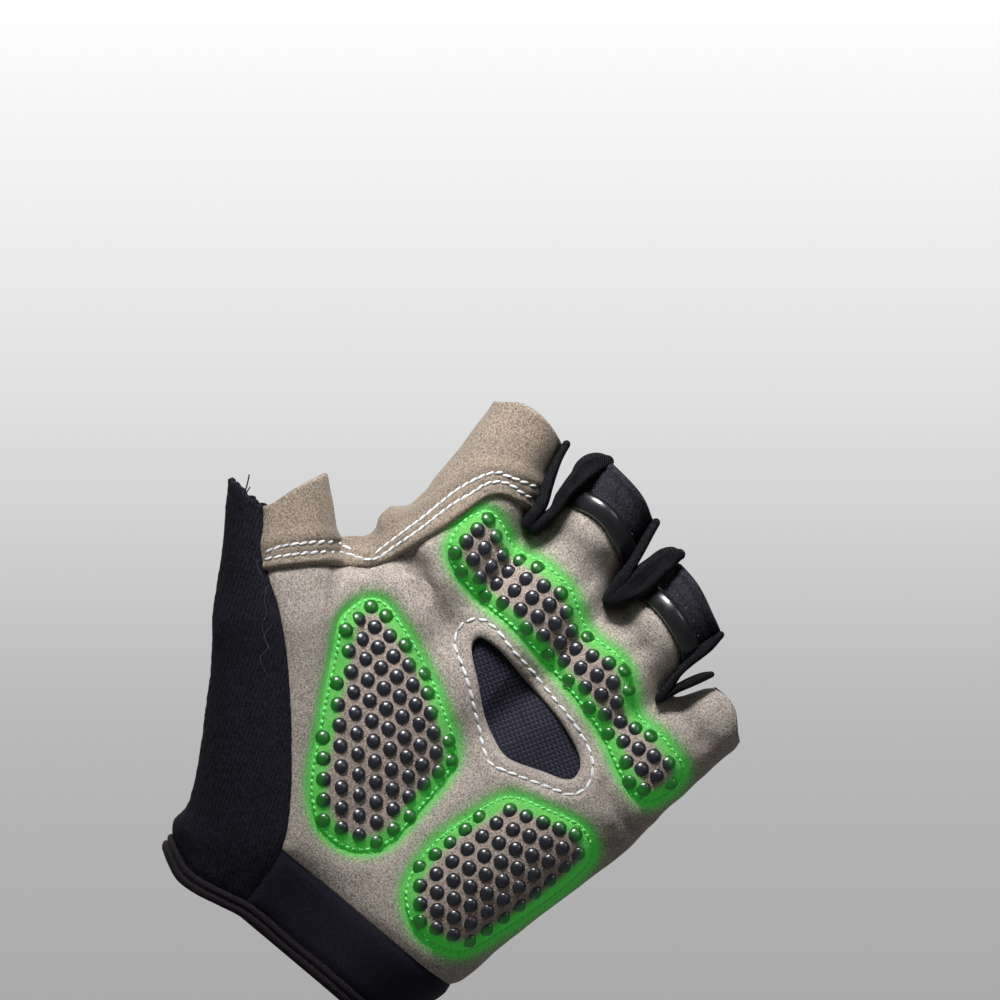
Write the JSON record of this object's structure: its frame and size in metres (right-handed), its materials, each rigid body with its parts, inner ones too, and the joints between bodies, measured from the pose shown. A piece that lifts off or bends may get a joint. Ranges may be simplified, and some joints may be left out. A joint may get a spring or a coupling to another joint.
{
  "type": "cycling glove",
  "caption": "Left half-finger cycling glove in its worn form, open at the wrist and the finger sleeves, with domed gel pads and a mesh window in a suede palm.",
  "frame": {"origin": "middle of the wrist opening, in the plane of the cuff's lower edge", "axes": "+Z from the wrist to the fingers, palm facing -Y, back of the hand +Y, thumb on the -X side"},
  "size_m": [0.1265, 0.045, 0.134],
  "materials": {
    "palm_suede": "taupe microsuede with a short nap",
    "web_suede": "brown-grey microsuede with a short nap",
    "terry": "near-black towelling loops",
    "knit": "black stretch knit",
    "window_mesh": "navy-black woven mesh",
    "neoprene": "smooth black elastic cloth",
    "binding": "smooth black binding tape",
    "finger_band": "black woven cloth",
    "gel": "padded suede with glossy black silicone domes and a green rim",
    "gloss": "glossy black",
    "ribbon": "black ribbed grosgrain ribbon"
  },
  "bodies": {
    "root": {"palm_panel": "palm_suede", "web_panel": "web_suede", "terry_panel": "terry", "back_panel": "knit", "mesh_window": "window_mesh", "cuff_band": "neoprene", "cuff_binding": "binding", "middle_finger_band": "finger_band", "ring_finger_band": "finger_band", "gel_pad_thumb": "gel", "gel_pad_knuckle": "gel", "gel_pad_heel": "gel", "middle_pull_strip": "gloss", "ring_pull_strip": "gloss", "binding_index_middle": "ribbon", "binding_middle_ring": "ribbon", "binding_ring_little": "ribbon"}
  },
  "joints": []
}
